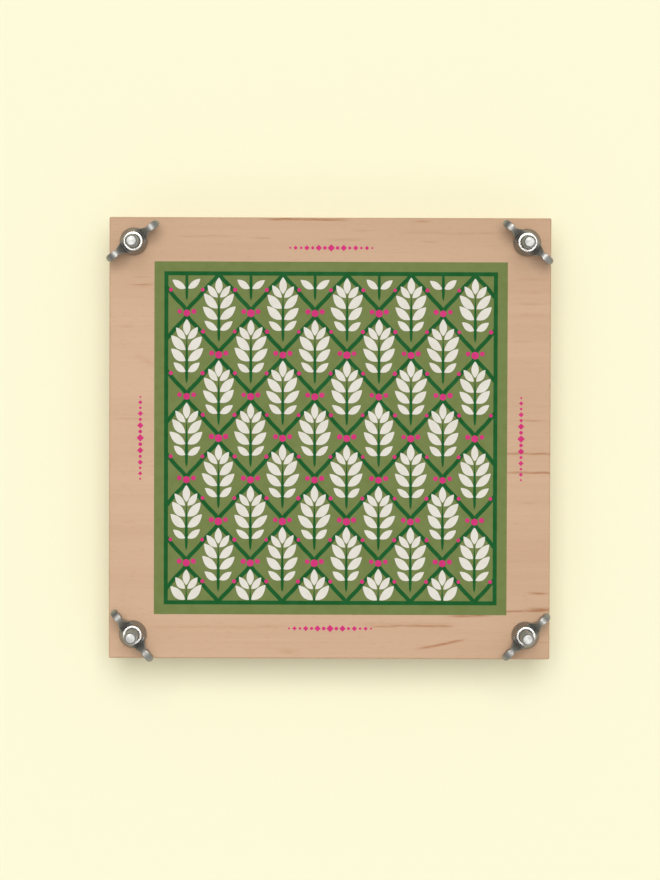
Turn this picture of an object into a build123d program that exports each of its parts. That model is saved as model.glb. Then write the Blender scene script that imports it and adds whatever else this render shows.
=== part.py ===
from build123d import *
import os
from math import acos, atan2, cos, radians, sin, sqrt

# A square flower press. Two plywood boards clamp a stack of corrugated cards and blotting
# papers. Four carriage bolts rise from the lower board, and wing nuts draw the upper one down.
# The origin is the centre of the underside, +Z is up, +X is right and +Y is back.
# All lengths are in millimetres and all angles in degrees.

# Boards
BOARD_SIDE = 200.0
BOARD_THICKNESS = 9.0
BOARD_CORNER_CUT = 0.4
BOARD_ARRIS = 0.5
BOARD_HOLE_CLEARANCE = 0.5

# Carriage bolts, with their heads let into the underside of the lower board
BOLT_INSET = 11.0
BOLT_DIAMETER = 6.0
BOLT_LENGTH = 65.0
BOLT_TIP_CHAMFER = 0.9
HEAD_DIAMETER = 15.5
HEAD_HEIGHT = 3.3
HEAD_SIDE_CLEARANCE = 0.6
HEAD_FLOOR_CLEARANCE = 0.3
SHANK_SEAT_CLEARANCE = 0.1
NECK_SIDE = 6.3
NECK_HEIGHT = 4.0

# Washers
WASHER_DIAMETER = 12.0
WASHER_THICKNESS = 1.6
WASHER_BOLT_CLEARANCE = 0.2

# Wing nuts: a flared hub with two rounded ears
NUT_BOLT_CLEARANCE = 0.05
HUB_BASE_DIAMETER = 12.6
HUB_TOP_DIAMETER = 8.7
HUB_HEIGHT = 8.0
WING_SPAN = 29.0
WING_TOP_HEIGHT = 14.0
WING_EAR_RADIUS = 4.4
WING_EAR_THICKNESS = 3.2
WING_NECK_THICKNESS = 2.2
WING_NECK_REACH = 8.6
WING_PAD_REACH = 9.8
WING_ROOT_LOW = 1.4
WING_ROOT_HIGH = 5.2
WING_EAR_UNDER_ANGLE = -70.0
WING_EAR_INNER_ANGLE = 195.0

# How far each nut's wings are turned from +X when the press is closed
FRONT_LEFT_WING_ANGLE = -51.6
FRONT_RIGHT_WING_ANGLE = 44.5
BACK_LEFT_WING_ANGLE = 37.2
BACK_RIGHT_WING_ANGLE = -40.8

# Stack of sheets. Each pair of blotting papers lies between two corrugated cards.
CARD_COUNT = 5
CARD_MARGIN = 4.5
CARD_THICKNESS = 3.2
CARD_LINER_THICKNESS = 0.35
CARD_MEDIUM_THICKNESS = 0.35
FLUTE_COUNT = 21
BLOTTER_MARGIN = 6.0
BLOTTER_THICKNESS = 0.6
BLOTTERS_PER_GAP = 2
SHEET_BOLT_CLEARANCE = 3.0

# Every cut runs past the faces it opens by this much
CUT_OVERRUN = 1.0

BOLT_RADIUS = BOLT_DIAMETER / 2
BOLT_PLACE = BOARD_SIDE / 2 - BOLT_INSET
HEAD_SEAT_Z = HEAD_FLOOR_CLEARANCE + HEAD_HEIGHT
CORNERS = {
    "front_left": (-BOLT_PLACE, -BOLT_PLACE),
    "front_right": (BOLT_PLACE, -BOLT_PLACE),
    "back_left": (-BOLT_PLACE, BOLT_PLACE),
    "back_right": (BOLT_PLACE, BOLT_PLACE),
}
WING_ANGLES = {
    "front_left": FRONT_LEFT_WING_ANGLE,
    "front_right": FRONT_RIGHT_WING_ANGLE,
    "back_left": BACK_LEFT_WING_ANGLE,
    "back_right": BACK_RIGHT_WING_ANGLE,
}


def board_blank():
    """A plywood square with eased edges, standing on z = 0."""
    outline = chamfer(Rectangle(BOARD_SIDE, BOARD_SIDE).vertices(), BOARD_CORNER_CUT)
    blank = extrude(outline, BOARD_THICKNESS)
    rims = blank.faces().sort_by(Axis.Z)[0].edges() + blank.faces().sort_by(Axis.Z)[-1].edges()
    return chamfer(rims, BOARD_ARRIS)


def at_corners(shape):
    """Copies of a shape at the four bolt places, at its own height."""
    return [Pos(x, y, 0) * shape for x, y in CORNERS.values()]


def upper_board():
    """The board that the wing nuts press down, with a plain hole at each corner."""
    hole_radius = BOLT_RADIUS + BOARD_HOLE_CLEARANCE
    hole = extrude(Circle(hole_radius), BOARD_THICKNESS + CUT_OVERRUN, both=True)
    return board_blank() - at_corners(hole)


def lower_board():
    """The board that holds the bolts: a recess for each head, a square seat for its neck, a hole."""
    recess = extrude(Circle(HEAD_DIAMETER / 2 + HEAD_SIDE_CLEARANCE), HEAD_SEAT_Z)
    below = extrude(Circle(HEAD_DIAMETER / 2 + HEAD_SIDE_CLEARANCE), -CUT_OVERRUN)
    neck_seat = Pos(0, 0, HEAD_SEAT_Z) * extrude(Rectangle(NECK_SIDE, NECK_SIDE), NECK_HEIGHT)
    hole = extrude(Circle(BOLT_RADIUS + SHANK_SEAT_CLEARANCE), BOARD_THICKNESS + CUT_OVERRUN)
    cutter = recess + below + neck_seat + hole
    return board_blank() - at_corners(cutter)


def carriage_bolt():
    """A domed head below z = 0, a square neck and a round shank above it."""
    head_radius = HEAD_DIAMETER / 2
    # The dome's radius follows from its chord and its rise.
    dome_radius = (head_radius**2 + HEAD_HEIGHT**2) / (2 * HEAD_HEIGHT)
    dome = RadiusArc((head_radius, 0), (0, -HEAD_HEIGHT), dome_radius)
    shank = Polyline(
        dome @ 1,
        (0, BOLT_LENGTH),
        (BOLT_RADIUS - BOLT_TIP_CHAMFER, BOLT_LENGTH),
        (BOLT_RADIUS, BOLT_LENGTH - BOLT_TIP_CHAMFER),
        (BOLT_RADIUS, 0),
        dome @ 0,
    )
    profile = Plane.XZ * make_face([dome, shank])
    return revolve(profile, Axis.Z) + extrude(Rectangle(NECK_SIDE, NECK_SIDE), NECK_HEIGHT)


def washer():
    """A flat ring standing on z = 0."""
    ring = Circle(WASHER_DIAMETER / 2) - Circle(BOLT_RADIUS + WASHER_BOLT_CLEARANCE)
    return extrude(ring, WASHER_THICKNESS)


def nut_hub():
    """A flared boss with a plain bore that runs on the bolt, standing on z = 0."""
    bore_radius = BOLT_RADIUS + NUT_BOLT_CLEARANCE
    base_radius = HUB_BASE_DIAMETER / 2
    top_radius = HUB_TOP_DIAMETER / 2
    outline = Polyline(
        (bore_radius, 0),
        (base_radius, 0),
        (top_radius, HUB_HEIGHT),
        (bore_radius, HUB_HEIGHT),
        close=True,
    )
    return revolve(Plane.XZ * make_face(outline), Axis.Z)


def wing_side_face():
    """One ear seen from the side: a round pad joined to the hub by two sweeping edges."""
    ear_x = WING_SPAN / 2 - WING_EAR_RADIUS
    ear_z = WING_TOP_HEIGHT - WING_EAR_RADIUS
    root_x = BOLT_RADIUS + NUT_BOLT_CLEARANCE

    def on_ear(angle):
        turn = radians(angle)
        return (ear_x + WING_EAR_RADIUS * cos(turn), ear_z + WING_EAR_RADIUS * sin(turn))

    under = radians(WING_EAR_UNDER_ANGLE)
    inner = radians(WING_EAR_INNER_ANGLE)
    lower = TangentArc(
        on_ear(WING_EAR_UNDER_ANGLE),
        (root_x, WING_ROOT_LOW),
        tangent=(sin(under), -cos(under)),
    )
    upper = TangentArc(
        on_ear(WING_EAR_INNER_ANGLE),
        (root_x, WING_ROOT_HIGH),
        tangent=(-sin(inner), cos(inner)),
    )
    ear = CenterArc(
        (ear_x, ear_z),
        WING_EAR_RADIUS,
        WING_EAR_UNDER_ANGLE,
        WING_EAR_INNER_ANGLE - WING_EAR_UNDER_ANGLE,
    )
    root = Line(lower @ 1, upper @ 1)
    return make_face([lower, ear, upper, root])


def wing_plan_face():
    """One ear seen from above: a gusset at the hub, a narrow neck and a thicker finger pad."""
    pad_half = WING_EAR_THICKNESS / 2
    neck_half = WING_NECK_THICKNESS / 2
    tip_x = WING_SPAN / 2
    # The gusset's side leaves the neck and touches the hub's cone where the upper edge meets it.
    flare = (HUB_BASE_DIAMETER - HUB_TOP_DIAMETER) / 2
    cone_radius = HUB_BASE_DIAMETER / 2 - flare * WING_ROOT_HIGH / HUB_HEIGHT
    neck_distance = sqrt(WING_NECK_REACH**2 + neck_half**2)
    touch = atan2(neck_half, WING_NECK_REACH) + acos(cone_radius / neck_distance)
    outline = Polyline(
        (tip_x, 0),
        (0, 0),
        (cone_radius * cos(touch), cone_radius * sin(touch)),
        (WING_NECK_REACH, neck_half),
        (WING_PAD_REACH, pad_half),
        (tip_x - pad_half, pad_half),
    )
    # A quarter round ends the pad at its tip.
    tip = JernArc((tip_x, 0), (0, 1), pad_half, 90)
    half = make_face([outline, tip])
    return half + mirror(half, Plane.XZ)


def wing_nut():
    """The whole nut with its wings along X, standing on z = 0."""
    # Each ear has its side view's outline one way and its plan's outline the other.
    slab = extrude(Plane.XZ * wing_side_face(), HUB_BASE_DIAMETER, both=True)
    paddle = extrude(wing_plan_face(), WING_TOP_HEIGHT + CUT_OVERRUN)
    bore = extrude(Circle(BOLT_RADIUS + NUT_BOLT_CLEARANCE), WING_TOP_HEIGHT + CUT_OVERRUN)
    wing = (slab & paddle) - bore
    return nut_hub() + wing + Rot(0, 0, 180) * wing


def sheet_outline(margin):
    """A square sheet whose corners are cut off clear of the bolts."""
    side = BOARD_SIDE - 2 * margin
    # The cut edge lies across the corner's diagonal, a clear distance from the bolt.
    cut_line = 2 * BOLT_PLACE - sqrt(2) * (BOLT_RADIUS + SHEET_BOLT_CLEARANCE)
    corner_cut = side - cut_line
    square = Rectangle(side, side)
    return chamfer(square.vertices(), corner_cut)


def blotting_paper():
    """A plain absorbent sheet standing on z = 0."""
    return extrude(sheet_outline(BLOTTER_MARGIN), BLOTTER_THICKNESS)


def corrugated_card():
    """Two liners with a fluted sheet glued between them; the flutes run along Y."""
    side = BOARD_SIDE - 2 * CARD_MARGIN
    pitch = side / FLUTE_COUNT
    low = CARD_LINER_THICKNESS + CARD_MEDIUM_THICKNESS / 2
    high = CARD_THICKNESS - low
    folds = [(-side / 2, low)]
    for flute in range(FLUTE_COUNT):
        start = -side / 2 + flute * pitch
        folds += [(start + pitch / 2, high), (start + pitch, low)]
    medium = trace(Polyline(*folds), CARD_MEDIUM_THICKNESS)
    liner = Rectangle(side, CARD_LINER_THICKNESS, align=(Align.CENTER, Align.MIN))
    upper_liner = Pos(0, CARD_THICKNESS - CARD_LINER_THICKNESS) * liner
    section = Plane.XZ * (liner + upper_liner + medium)
    return extrude(section, side / 2, both=True) & extrude(sheet_outline(CARD_MARGIN), CARD_THICKNESS)


def stack_sheets():
    """The sheets from the bottom up, as (node name, shape, thickness)."""
    card = corrugated_card()
    blotter = blotting_paper()
    sheets = []
    blotters_laid = 0
    for number in range(1, CARD_COUNT + 1):
        sheets.append((f"corrugated_card_{number}", card, CARD_THICKNESS))
        if number == CARD_COUNT:
            break
        for _ in range(BLOTTERS_PER_GAP):
            blotters_laid += 1
            sheets.append((f"blotting_paper_{blotters_laid}", blotter, BLOTTER_THICKNESS))
    return sheets


def press_nodes():
    """Every piece of the closed press in its place, by node name."""
    nodes = {"base_board": lower_board()}
    level = BOARD_THICKNESS
    for name, sheet, thickness in stack_sheets():
        nodes[name] = Pos(0, 0, level) * sheet
        level += thickness
    nodes["top_board"] = Pos(0, 0, level) * upper_board()
    washer_z = level + BOARD_THICKNESS
    nut_z = washer_z + WASHER_THICKNESS
    nodes["carriage_bolts"] = Compound(children=at_corners(Pos(0, 0, HEAD_SEAT_Z) * carriage_bolt()))
    ring = washer()
    nut = wing_nut()
    for corner, (x, y) in CORNERS.items():
        nodes[f"washer_{corner}"] = Pos(x, y, washer_z) * ring
        nodes[f"wing_nut_{corner}"] = Pos(x, y, nut_z) * Rot(0, 0, WING_ANGLES[corner]) * nut
    return nodes


os.makedirs("parts", exist_ok=True)
for node, shape in press_nodes().items():
    export_step(shape, f"parts/{node}.step")
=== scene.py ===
"""Dresses the flower press: plywood, printed field, plated hardware, card and blotting paper."""

import logging
from dataclasses import dataclass, field
from enum import Enum

import bmesh
import bpy
import numpy as np
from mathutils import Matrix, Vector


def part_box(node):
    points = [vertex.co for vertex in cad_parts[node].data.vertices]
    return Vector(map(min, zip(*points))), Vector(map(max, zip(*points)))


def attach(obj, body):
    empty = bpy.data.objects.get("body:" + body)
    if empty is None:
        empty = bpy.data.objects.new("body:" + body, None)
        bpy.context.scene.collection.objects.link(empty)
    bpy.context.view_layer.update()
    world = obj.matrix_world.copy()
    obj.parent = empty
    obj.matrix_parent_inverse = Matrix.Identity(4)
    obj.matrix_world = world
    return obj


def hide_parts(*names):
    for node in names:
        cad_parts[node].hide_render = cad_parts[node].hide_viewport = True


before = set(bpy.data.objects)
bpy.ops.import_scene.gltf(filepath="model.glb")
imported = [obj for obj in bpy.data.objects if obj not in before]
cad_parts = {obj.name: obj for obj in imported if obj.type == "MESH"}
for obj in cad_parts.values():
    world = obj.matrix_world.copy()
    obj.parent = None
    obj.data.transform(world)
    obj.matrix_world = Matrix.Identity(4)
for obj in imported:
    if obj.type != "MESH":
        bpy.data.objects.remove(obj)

Array = np.ndarray
Colour = tuple[float, float, float, float]
Inputs = dict[str | int, object]
Material = bpy.types.Material
Mesh = bpy.types.Mesh
Node = bpy.types.Node
Outputs = bpy.types.NodeOutputs
Piece = bpy.types.Object
Socket = bpy.types.NodeSocket
Tree = bpy.types.NodeTree

log = logging.getLogger("flower_press")
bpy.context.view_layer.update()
SEED = 11
FULL_TURN = 2.0 * np.pi
MERGE = 1e-7  # Points nearer than this, in metres, are one.
SLIVER = 1e-8  # Faces thinner than this, in metres, are dropped.
VECTOR, VALUE, COLOUR = "NodeSocketVector", "NodeSocketFloat", "NodeSocketColor"


class Corner(Enum):
    """The four corners of the press, by the names its nodes use."""

    FRONT_LEFT = "front_left"
    FRONT_RIGHT = "front_right"
    BACK_LEFT = "back_left"
    BACK_RIGHT = "back_right"


class Body(Enum):
    """Rigid bodies that carry more than their own node."""

    BASE = "base"
    TOP = "top_board"


class Layer(Enum):
    """Layers of ink, in double films from the board up to the top of each."""

    GROUND = 1.0
    TRELLIS = 2.25
    STALK = 2.6
    FRAME = 3.2
    LEAF = 3.4
    END_LEAF = 3.7
    BEAD = 4.2


def screen(red: float, green: float, blue: float) -> Colour:
    """Turn a screen colour, from 0 to 255, into the linear one with alpha that shaders take."""
    share = np.array([red, green, blue]) / 255.0
    return (*np.where(share <= 0.04045, share / 12.92, ((share + 0.055) / 1.055) ** 2.4), 1.0)


BACKDROP = screen(254, 251, 218)


def node_size(node: str) -> tuple[Array, Array]:
    """Give the lowest and highest corners of a CAD node's box, in metres."""
    low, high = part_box(node)
    return np.array(low), np.array(high)


def smooth_step(value: Array, low: float, high: float) -> Array:
    """Rise from 0 at low to 1 at high along a cubic that is level at both ends."""
    share = np.clip((value - low) / (high - low), 0.0, 1.0)
    return share * share * (3.0 - 2.0 * share)


def round_angles(count: int) -> Array:
    """Share a full turn into equal steps, without its end."""
    return np.linspace(0.0, FULL_TURN, count, endpoint=False)


def superellipse(angle: Array, power: float) -> Array:
    """Give the radius of a rounded square with sides at 1, sharper at a higher power."""
    corner = np.abs(np.cos(angle)) ** power + np.abs(np.sin(angle)) ** power
    return corner ** (-1.0 / power)


def points_at(x: Array, y: Array, z: Array | float) -> Array:
    """Join coordinates that are spread over the same grid into points."""
    return np.stack(np.broadcast_arrays(x, y, z), axis=-1)


def point_values(mesh: Mesh, name: str) -> Array:
    """Read a vector of every point of a mesh.

    Args:
        mesh: Mesh to read.
        name: Blender's name of the vector, such as co or normal.

    Returns:
        Vectors of shape (n, 3).
    """
    values = np.empty(len(mesh.vertices) * 3)
    mesh.vertices.foreach_get(name, values)
    return values.reshape(-1, 3)


def keep_relief(mesh: Mesh, relief: Array) -> None:
    """Store the attribute relief, which is below 0 in hollows, painted dark as grime and shade, and
    above it on raised places, painted light as wear and highlight.
    """
    values = relief.astype(np.float32)
    mesh.attributes.new("relief", "FLOAT", "POINT").data.foreach_set("value", values)


def linked(name: str, data: bpy.types.ID) -> Piece:
    """Make an object of a mesh, lamp or camera.

    Args:
        name: Name of the object.
        data: What it shows.

    Returns:
        The object, linked to the scene.
    """
    made = bpy.data.objects.new(name, data)
    bpy.context.scene.collection.objects.link(made)
    return made


@dataclass
class MeshSheet:
    """Grids of points that are gathered and then made into one mesh."""

    points: list[Array] = field(default_factory=list)  # Vertex arrays of shape (n, 3), in metres.
    # Face arrays of shape (m, 4) that index the gathered vertices.
    quads: list[Array] = field(default_factory=list)
    count: int = 0  # Number of vertices gathered so far.

    def add_grid(self, grid: Array, wrap_u: bool = False, wrap_v: bool = False) -> None:
        """Join neighbouring points of one or more grids with four-sided faces.

        Args:
            grid: Points of shape (..., u, v, 3). Leading axes are separate copies.
            wrap_u: Whether the last row joins the first.
            wrap_v: Whether the last column joins the first.
        """
        rows, columns = grid.shape[-3:-1]
        copies = grid.reshape(-1, rows * columns, 3)
        index = np.arange(rows * columns).reshape(rows, columns)
        index = np.pad(index, ((0, int(wrap_u)), (0, int(wrap_v))), mode="wrap")
        corners = (index[:-1, :-1], index[1:, :-1], index[1:, 1:], index[:-1, 1:])
        faces = np.stack(corners, axis=-1).reshape(-1, 4)
        offsets = self.count + np.arange(len(copies)) * rows * columns
        self.points.append(copies.reshape(-1, 3))
        self.quads.append((faces[None] + offsets[:, None, None]).reshape(-1, 4))
        self.count += len(copies) * rows * columns

    def piece(self, name: str, smooth: bool = True) -> Piece:
        """Make the object, with doubled points merged and faces turned outwards.

        Args:
            name: Name of the object and its mesh.
            smooth: Whether faces are shaded smooth.

        Returns:
            The new object, linked to the scene.
        """
        mesh = bpy.data.meshes.new(name)
        mesh.from_pydata(np.concatenate(self.points), [], np.concatenate(self.quads))
        sheet = bmesh.new()
        sheet.from_mesh(mesh)
        bmesh.ops.remove_doubles(sheet, verts=sheet.verts, dist=MERGE)
        bmesh.ops.dissolve_degenerate(sheet, edges=sheet.edges, dist=SLIVER)
        bmesh.ops.recalc_face_normals(sheet, faces=sheet.faces)
        sheet.to_mesh(mesh)
        sheet.free()
        mesh.polygons.foreach_set("use_smooth", np.full(len(mesh.polygons), smooth))
        mesh.update()
        return linked(name, mesh)


def settle(piece: Piece, finish: Material, body: str, slot: str, *nodes: str) -> None:
    """Dress a piece, let it ride on its body and stand for the nodes it replaces.

    Args:
        piece: The shaped object.
        finish: Its material.
        body: Name of the CAD body.
        slot: Material slot in the record; not used.
        nodes: CAD nodes that the piece stands for.
    """
    piece.data.materials.append(finish)
    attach(piece, body)
    if nodes:
        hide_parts(*nodes)
    log.info("piece %s rides on %s with %d faces", piece.name, body, len(piece.data.polygons))


@dataclass
class NodeSheet:
    """A node tree that is filled by short calls, most of which return an output socket."""

    tree: Tree  # The tree to fill.

    def feed(self, node: Node, inputs: Inputs) -> None:
        """Link sockets to a node's inputs, and set those that are plain values.

        Args:
            node: Node to feed.
            inputs: Sockets or values by input name or index.
        """
        for key, value in inputs.items():
            if isinstance(value, Socket):
                self.tree.links.new(value, node.inputs[key])
            else:
                node.inputs[key].default_value = value

    def node(self, kind: str, inputs: Inputs, **settings: object) -> Node:
        """Add a node, set its properties and feed its inputs.

        Args:
            kind: Blender's type name of the node.
            inputs: Sockets or values by input name or index.
            settings: Properties of the node.

        Returns:
            The new node.
        """
        made = self.tree.nodes.new(kind)
        for key, value in settings.items():
            setattr(made, key, value)
        self.feed(made, inputs)
        return made

    def math(self, operation: str, *values: object, clamp: bool = False) -> Socket:
        """Combine sockets or numbers by the named operation."""
        inputs = dict(enumerate(values))
        return self.node("ShaderNodeMath", inputs, operation=operation, use_clamp=clamp).outputs[0]

    def plus(self, first: object, second: object) -> Socket:
        """Add two sockets or numbers."""
        return self.math("ADD", first, second)

    def times(self, first: object, second: object) -> Socket:
        """Multiply two sockets or numbers."""
        return self.math("MULTIPLY", first, second)

    def mix(self, share: object, first: object, second: object, blend: str = "MIX") -> Socket:
        """Mix two colours, with only the first at a share of 0."""
        inputs = {0: share, 6: first, 7: second}
        return self.node("ShaderNodeMix", inputs, data_type="RGBA", blend_type=blend).outputs[2]

    def span(
        self, value: Socket, low: float, high: float, start: float = 0.0, end: float = 1.0
    ) -> Socket:
        """Map low to start and high to end smoothly, held at both ends."""
        inputs = {0: value, 1: low, 2: high, 3: start, 4: end}
        return self.node("ShaderNodeMapRange", inputs, interpolation_type="SMOOTHSTEP").outputs[0]

    def noise(
        self, vector: Socket, scale: object, detail: float = 3.0, rough: float = 0.55
    ) -> Socket:
        """Give noise from 0 to 1 with scale features in a unit and detail octaves."""
        inputs = {"Vector": vector, "Scale": scale, "Detail": detail, "Roughness": rough}
        return self.node("ShaderNodeTexNoise", inputs).outputs[0]

    def drawn(
        self, vector: Socket, x: float, y: float, z: float, detail: float, rough: float = 0.55
    ) -> Socket:
        """Give noise with its own number of features in a unit along each axis."""
        stretched = self.node("ShaderNodeMapping", {"Vector": vector, "Scale": (x, y, z)})
        return self.noise(stretched.outputs[0], 1.0, detail, rough)

    def place(self) -> Socket:
        """Give Object coordinates, in metres."""
        return self.node("ShaderNodeTexCoord", {}).outputs["Object"]

    def axes(self, vector: Socket) -> tuple[Socket, Socket, Socket]:
        """Split a vector into its three numbers."""
        made = self.node("ShaderNodeSeparateXYZ", {0: vector})
        return made.outputs[0], made.outputs[1], made.outputs[2]

    def group(self, tree: Tree, inputs: Inputs) -> Outputs:
        """Place a node group and give its outputs."""
        return self.node("ShaderNodeGroup", inputs, node_tree=tree).outputs

    def bump(self, height: Socket, distance: float, strength: float = 1.0) -> Socket:
        """Turn a height from 0 to 1 into a normal, with a full step's depth in metres."""
        inputs = {"Height": height, "Distance": distance, "Strength": strength}
        return self.node("ShaderNodeBump", inputs).outputs[0]


def new_material(name: str) -> tuple[Material, NodeSheet, Node]:
    """Start a material on its Principled shader.

    Args:
        name: Name of the material.

    Returns:
        The material, its node sheet and its shader.
    """
    material = bpy.data.materials.new(name)
    material.use_nodes = True
    shader = material.node_tree.nodes["Principled BSDF"]
    return material, NodeSheet(material.node_tree), shader


def new_group(
    name: str, inputs: dict[str, str], outputs: dict[str, str]
) -> tuple[NodeSheet, Outputs, Node]:
    """Start a shader node group.

    Args:
        name: Name of the group.
        inputs: Socket types by input name.
        outputs: Socket types by output name.

    Returns:
        The group's sheet, the sockets that it takes and its output node.
    """
    tree = bpy.data.node_groups.new(name, "ShaderNodeTree")
    for way, sockets in (("INPUT", inputs), ("OUTPUT", outputs)):
        for key, kind in sockets.items():
            tree.interface.new_socket(key, in_out=way, socket_type=kind)
    given = tree.nodes.new("NodeGroupInput").outputs
    return NodeSheet(tree), given, tree.nodes.new("NodeGroupOutput")


def grain_group() -> Tree:
    """Make the wood grain: broad bands, fine lines and short pores, all drawn out along X.

    Returns:
        A group that takes coordinates and gives tone, pores and height.
    """
    results = {"Tone": VALUE, "Pores": VALUE, "Height": VALUE}
    sheet, given, sink = new_group("wood grain", {"Vector": VECTOR}, results)
    place = given["Vector"]
    wander = sheet.drawn(place, 6.0, 22.0, 22.0, 2.0)
    bands = sheet.drawn(place, 5.0, 95.0, 95.0, 3.0, 0.5)
    lines = sheet.drawn(place, 14.0, 900.0, 900.0, 2.0, 0.6)
    pores = sheet.drawn(place, 230.0, 2600.0, 2600.0, 1.0, 0.4)
    flecks = sheet.span(pores, 0.62, 0.74)
    tone = sheet.plus(sheet.times(wander, 0.35), sheet.times(bands, 0.4))
    tone = sheet.plus(tone, sheet.times(lines, 0.25))
    height = sheet.math("SUBTRACT", lines, sheet.times(flecks, 0.6))
    sheet.feed(sink, {"Tone": tone, "Pores": flecks, "Height": height})
    return sheet.tree


def fibre_group() -> Tree:
    """Make paper fibres: tangled thin threads over soft clouds.

    Returns:
        A group that takes coordinates and gives threads, clouds and height.
    """
    results = {"Threads": VALUE, "Clouds": VALUE, "Height": VALUE}
    sheet, given, sink = new_group("paper fibre", {"Vector": VECTOR}, results)
    place = given["Vector"]
    curls = {"Vector": place, "Scale": 260.0, "Detail": 1.0}
    curl = sheet.node("ShaderNodeTexNoise", curls).outputs[1]
    reach = (0.004, 0.004, 0.004)
    moves = {0: curl, 1: reach, 2: place}
    bent = sheet.node("ShaderNodeVectorMath", moves, operation="MULTIPLY_ADD").outputs[0]
    across = sheet.span(sheet.drawn(bent, 420.0, 3600.0, 3600.0, 1.0), 0.6, 0.72)
    along = sheet.span(sheet.drawn(bent, 3600.0, 420.0, 3600.0, 1.0), 0.6, 0.72)
    threads = sheet.math("MAXIMUM", across, along)
    clouds = sheet.noise(place, 90.0, 4.0)
    height = sheet.plus(sheet.times(threads, 0.5), sheet.noise(place, 2400.0, 2.0))
    sheet.feed(sink, {"Threads": threads, "Clouds": clouds, "Height": height})
    return sheet.tree


def plating_group() -> Tree:
    """Make zinc plate: cloudy dulling, hollows darkened as grime and painted shade, and raised
    places lightened as wear and a painted highlight.

    Returns:
        A group that takes coordinates, relief and tones and gives colour, roughness and height.
    """
    numbers = {"Relief": VALUE, "Grit": VALUE, "Dullness": VALUE}
    tones = {"Plate": COLOUR, "Hollow": COLOUR, "Wear and highlight": COLOUR}
    results = {"Colour": COLOUR, "Roughness": VALUE, "Height": VALUE}
    sheet, given, sink = new_group("plating with wear and painted shade", {"Vector": VECTOR} | numbers | tones, results)
    clouds = sheet.noise(given["Vector"], 420.0, 4.0)
    specks = sheet.noise(given["Vector"], given["Grit"], 3.0, 0.6)
    # Hollows take the dark tone: grime, and painted shade.
    hollow = sheet.span(given["Relief"], -0.4, -0.95)
    # Raised places take the light tone: wear, and a painted highlight.
    wear_and_highlight = sheet.span(sheet.plus(given["Relief"], sheet.times(specks, 0.25)), 0.3, 0.9)
    dulled = sheet.times(sheet.span(clouds, 0.4, 0.7), 0.22)
    shade = sheet.mix(dulled, given["Plate"], given["Hollow"])
    shade = sheet.mix(sheet.times(hollow, 0.85), shade, given["Hollow"])
    shade = sheet.mix(sheet.times(wear_and_highlight, 0.55), shade, given["Wear and highlight"])
    rough = sheet.plus(sheet.span(clouds, 0.3, 0.75, -0.08, 0.08), given["Dullness"])
    rough = sheet.plus(rough, sheet.times(hollow, 0.12))
    rough = sheet.math("SUBTRACT", rough, sheet.times(wear_and_highlight, 0.2))
    sheet.feed(sink, {"Colour": shade, "Roughness": rough, "Height": specks})
    return sheet.tree


GRAIN = grain_group()
FIBRE = fibre_group()
PLATING = plating_group()


@dataclass(frozen=True)
class Streak:
    """One thin brown streak in a veneer."""

    y: float  # Where it crosses, in metres.
    start: float  # Lower end along X.
    end: float  # Upper end along X.
    width: float  # Half width.
    depth: float  # Share of the streak's colour.
    slope: float = 0.0  # Climb along Y for a step along X.


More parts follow.
